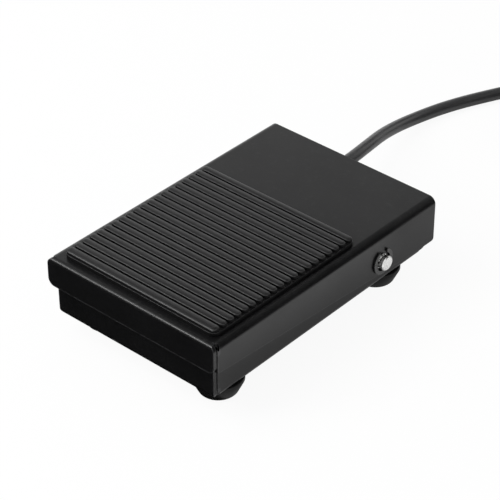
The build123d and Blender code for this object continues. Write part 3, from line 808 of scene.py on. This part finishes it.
def addTread(values):
    # The slab and its row of ribs are set at rest and joined into one skin
    middle = values["fromFront"] + values["length"] / 2
    slab, ribs = treadSlab(values), ribRow(values, middle)
    atRest = coverAtRest(hinge) @ Matrix.Translation((values["offset"], middle, 0.0))
    for bm in (slab, ribs):
        setInPlace(bm, atRest)
    ribsObject = addObject("ribs", meshFrom(ribs, "ribs"))
    slabObject = addObject("treadSlab", meshFrom(slab, "treadSlab"))
    union = slabObject.modifiers.new("ribs", "BOOLEAN")
    union.operation = "UNION"
    union.solver = "EXACT"
    union.object = ribsObject
    bm = mergedCopy(finalMesh(slabObject), values["flat"])
    bpy.data.objects.remove(ribsObject)
    evenNormals(addPiece("treadPad", meshFrom(bm, "treadPad", values["sharp"]), ["tread_pad"]))


addTread(tread)
print("tread made")

foot = {
    "radius": 8.1, "lowRadius": 5.95, "height": 6.0, "rim": 1.4, "recess": 4.0,
    "recessDepth": 3.4, "hole": 2.05, "steps": 64,
    "rounds": [(2, 0.95, 6), (0, 0.2, 3), (3, 0.3, 2)],
    "places": {
        "front_left_foot": (-24.3, -37.977), "front_right_foot": (24.3, -39.477),
        "rear_left_foot": (-24.3, 35.023), "rear_right_foot": (24.3, 35.023),
    },
}


def addFeet(values):
    profile = [
        (values["radius"], values["height"]), (values["radius"], values["height"] - values["rim"]),
        (values["lowRadius"], 0.0), (values["recess"], 0.0),
        (values["recess"], values["recessDepth"]), (values["hole"], values["recessDepth"]),
        (values["hole"], values["height"]),
    ]
    for node, (x, y) in values["places"].items():
        bm = turnedBody(profile, values["rounds"], values["steps"])
        setInPlace(bm, Matrix.Translation((x, y, 0.0)))
        addPiece(camel(node), meshFrom(bm, camel(node), meshCare["roundSharp"]), [node])


addFeet(foot)
dressNode("hinge_pin", 0.06, "pin_steel")
dressNode("right_clip", 0.08)
dressNode("left_clip", 0.08)
print("feet, pin and clips made")

spring = {
    "y": -39.577, "low": 8.2, "high": 25.61, "diameter": 11.0, "wire": 1.2, "turns": 6.5,
    "deadTurns": 1.0, "deadGap": 0.6, "ground": 0.02, "pointsPerTurn": 16, "sides": 4,
    "steps": 3, "keep": 0.76,
}


def springPoints(values):
    # Up from the lower seat, with closer turns at both ends; the ends reach into the cut
    start = values["low"] + values["wire"] / 4
    height = values["high"] - values["low"] - values["wire"] / 2
    deadPitch = values["wire"] + values["deadGap"]
    openTurns = values["turns"] - 2 * values["deadTurns"]
    openPitch = (height - 2 * values["deadTurns"] * deadPitch) / openTurns
    mean = (values["diameter"] - values["wire"]) / 2
    points = []
    for count in range(int(values["pointsPerTurn"] * values["turns"]) + 1):
        turn = count / values["pointsPerTurn"]
        lower = min(turn, values["deadTurns"])
        middle = min(max(turn - values["deadTurns"], 0.0), openTurns)
        upper = max(turn - values["deadTurns"] - openTurns, 0.0)
        z = start + (lower + upper) * deadPitch + middle * openPitch
        angle = 2 * pi * turn
        points.append(Vector((mean * cos(angle), values["y"] + mean * sin(angle), z)) * mm)
    return points


def addSpring(values):
    # Wound along one spline, made a mesh, and its two ends ground flat
    wound = addObject("woundWire", roundCurve(
        "woundWire", springPoints(values), values["wire"] / 2 * mm, values["sides"], values["steps"]
    ))
    bm = bmesh.new()
    bm.from_mesh(finalMesh(wound))
    bmesh.ops.remove_doubles(bm, verts=bm.verts, dist=meshCare["merge"])
    low, high = values["low"] + values["ground"], values["high"] - values["ground"]
    for level, facing in ((low, -1), (high, 1)):
        cut = bmesh.ops.bisect_plane(
            bm, geom=bm.verts[:] + bm.edges[:] + bm.faces[:], plane_co=(0.0, 0.0, level * mm),
            plane_no=(0.0, 0.0, facing), clear_outer=True
        )
        rim = [e for e in cut["geom_cut"] if isinstance(e, bmesh.types.BMEdge)]
        bmesh.ops.holes_fill(bm, edges=rim, sides=0)
    mesh = meshFrom(bm, "returnSpring", meshCare["roundSharp"])
    piece = addPiece("returnSpring", mesh, ["return_spring"])
    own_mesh(piece)


addSpring(spring)
print("return spring made")

# The pieces inside the housing keep their shape and get eased edges of these widths
innerPieces = {
    "spring_cap": 0.08, "spring_seat": 0.08, "foot_screws": 0.1, "foot_nuts": 0.1,
    "switch_case": 0.1, "switch_lid": 0.08, "switch_plunger": 0.05, "switch_lever": 0.04,
    "lever_pin": 0.05, "common_terminal": 0.04, "open_terminal": 0.04, "closed_terminal": 0.04,
    "switch_bracket": 0.1, "bracket_rivets": 0.1, "switch_screws": 0.06, "switch_nuts": 0.06,
    "clamp_block": 0.1, "clamp_bar": 0.1, "clamp_screws": 0.06, "inner_cable": 0.1,
    "common_wire": 0.03, "open_wire": 0.03, "closed_wire": 0.03,
}

for node, width in innerPieces.items():
    dressNode(node, width)
print("inner pieces made:", len(innerPieces))


# Stage: a white table and sky, lamps, and cards that only shine can see, most of them black, which
# give painted dark reflections
up, down = (0, 0, 1), (0, 0, -1)
stage = {
    "tableSize": 12.0,
    "tableColour": (0.85, 0.85, 0.85),
    "tableDrop": 0.00002,
    "shadowShare": 0.07,
    "shineShare": 0.3,
    "ambient": 0.55,
}
lamps = {
    "keyBox": {"place": (-0.55, -0.45, 1.05), "size": (0.9, 0.9), "power": 9.0, "shine": False},
    "edgeBox": {"place": (-0.49, -0.68, 0.49), "size": (0.34, 0.20), "power": 3.3, "shine": True},
}
black = 0.002
cards = {
    # the floorCard is a painted shadow: a black sheet for the object's shade on the floor in front
    "floorCard": {"place": (-0.30, -0.31, 0.0002), "size": (0.66, 0.60), "facing": up},
    "rearCard": {"place": (0.579, 0.392, 0.24), "size": (0.55, 0.46), "facing": (-0.76, -0.65, 0)},
    "leadCard": {"place": (-0.17, 0.64, 0.22), "size": (0.26, 0.24), "facing": (0.25, -0.85, -0.3)},
    "farCard": {"place": (0.44, 0.33, 0.0002), "size": (0.68, 0.70), "facing": up},
    "headCard": {"place": (-0.19, 0.10, 0.62), "size": (0.58, 0.50), "facing": down},
    "roofCard": {"place": (-0.17, 0.53, 0.62), "size": (0.84, 0.36), "facing": down, "tone": 0.3},
    "upperCard": {"place": (0.50, 0.55, 0.62), "size": (0.50, 0.60), "facing": down},
    # the bounceCard glows though it lights nothing: a painted reflection that lightens the upper
    # right side
    "bounceCard": {"place": (0.074, 0, 0.0003), "size": (0.044, 0.11), "facing": up, "glow": 1.25},
    "frontCard": {"place": (-0.45, -0.62, 0.18), "size": (0.80, 0.34), "facing": (0.45, 0.62, 0)},
}


def flatPiece(name, size, colour):
    bm = bmesh.new()
    bmesh.ops.create_grid(bm, x_segments=1, y_segments=1, size=0.5)
    bmesh.ops.scale(bm, vec=(*size, 1.0), verts=bm.verts)
    mesh = bpy.data.meshes.new(name)
    bm.to_mesh(mesh)
    bm.free()
    material = bpy.data.materials.new(name)
    material.use_nodes = True
    tree = material.node_tree
    tree.nodes.clear()
    plain = addNode(tree, "ShaderNodeBsdfDiffuse", Color=(*colour, 1.0))
    surface = addNode(tree, "ShaderNodeOutputMaterial").inputs["Surface"]
    link(tree, plain.outputs[0], surface)
    mesh.materials.append(material)
    piece = addObject(name, mesh)
    return piece, tree, surface


def rayMask(tree, *kinds):
    rays = addNode(tree, "ShaderNodeLightPath")
    mask = rays.outputs[kinds[0]]
    for kind in kinds[1:]:
        mask = maths(tree, "MAXIMUM", mask, rays.outputs[kind])
    return mask


def addTable(values):
    # Lit like any table, but near white to the camera and half seen in what shines
    size = (values["tableSize"], values["tableSize"])
    table, tree, surface = flatPiece("table", size, values["tableColour"])
    plain = surface.links[0].from_socket
    table.location.z = -values["tableDrop"]
    seen = rayMask(tree, "Is Camera Ray", "Is Transmission Ray")
    seen = maths(tree, "MULTIPLY", seen, 1.0 - values["shadowShare"])
    shine = maths(tree, "MULTIPLY", rayMask(tree, "Is Glossy Ray"), values["shineShare"])
    mix = addNode(tree, "ShaderNodeMixShader")
    link(tree, maths(tree, "MAXIMUM", seen, shine), mix.inputs["Fac"])
    link(tree, plain, mix.inputs[1])
    link(tree, addNode(tree, "ShaderNodeEmission", Strength=1.0).outputs[0], mix.inputs[2])
    link(tree, mix.outputs[0], surface)


def addWorld(values):
    world = bpy.data.worlds.new("studio")
    world.use_nodes = True
    scene.world = world
    tree = world.node_tree
    background = setInputs(tree.nodes["Background"], Color=(1.0, 1.0, 1.0, 1.0))
    seen = rayMask(tree, "Is Camera Ray", "Is Glossy Ray", "Is Transmission Ray")
    strength = mapped(tree, seen, 0.0, 1.0, values["ambient"], 1.0)
    link(tree, strength, background.inputs["Strength"])


def addLamp(name, values):
    data = bpy.data.lights.new(name, "AREA")
    data.shape = "RECTANGLE"
    data.size, data.size_y = values["size"]
    data.energy = values["power"]
    lamp = addObject(name, data)
    lamp.location = values["place"]
    lamp.rotation_euler = (-Vector(values["place"])).to_track_quat("-Z", "Y").to_euler()
    lamp.visible_glossy = values["shine"]


def addCard(name, values):
    tone = values.get("tone", black)
    card, tree, surface = flatPiece(name, values["size"], (tone, tone, tone))
    if "glow" in values:
        glow = addNode(tree, "ShaderNodeEmission", Strength=values["glow"])
        link(tree, glow.outputs[0], surface)
    card.location = values["place"]
    card.rotation_euler = Vector(values["facing"]).to_track_quat("Z", "Y").to_euler()
    for kind in ("camera", "diffuse", "transmission", "shadow", "volume_scatter"):
        setattr(card, f"visible_{kind}", False)


addTable(stage)
addWorld(stage)
for name, values in lamps.items():
    addLamp(name, values)
for name, values in cards.items():
    addCard(name, values)
print("stage made")
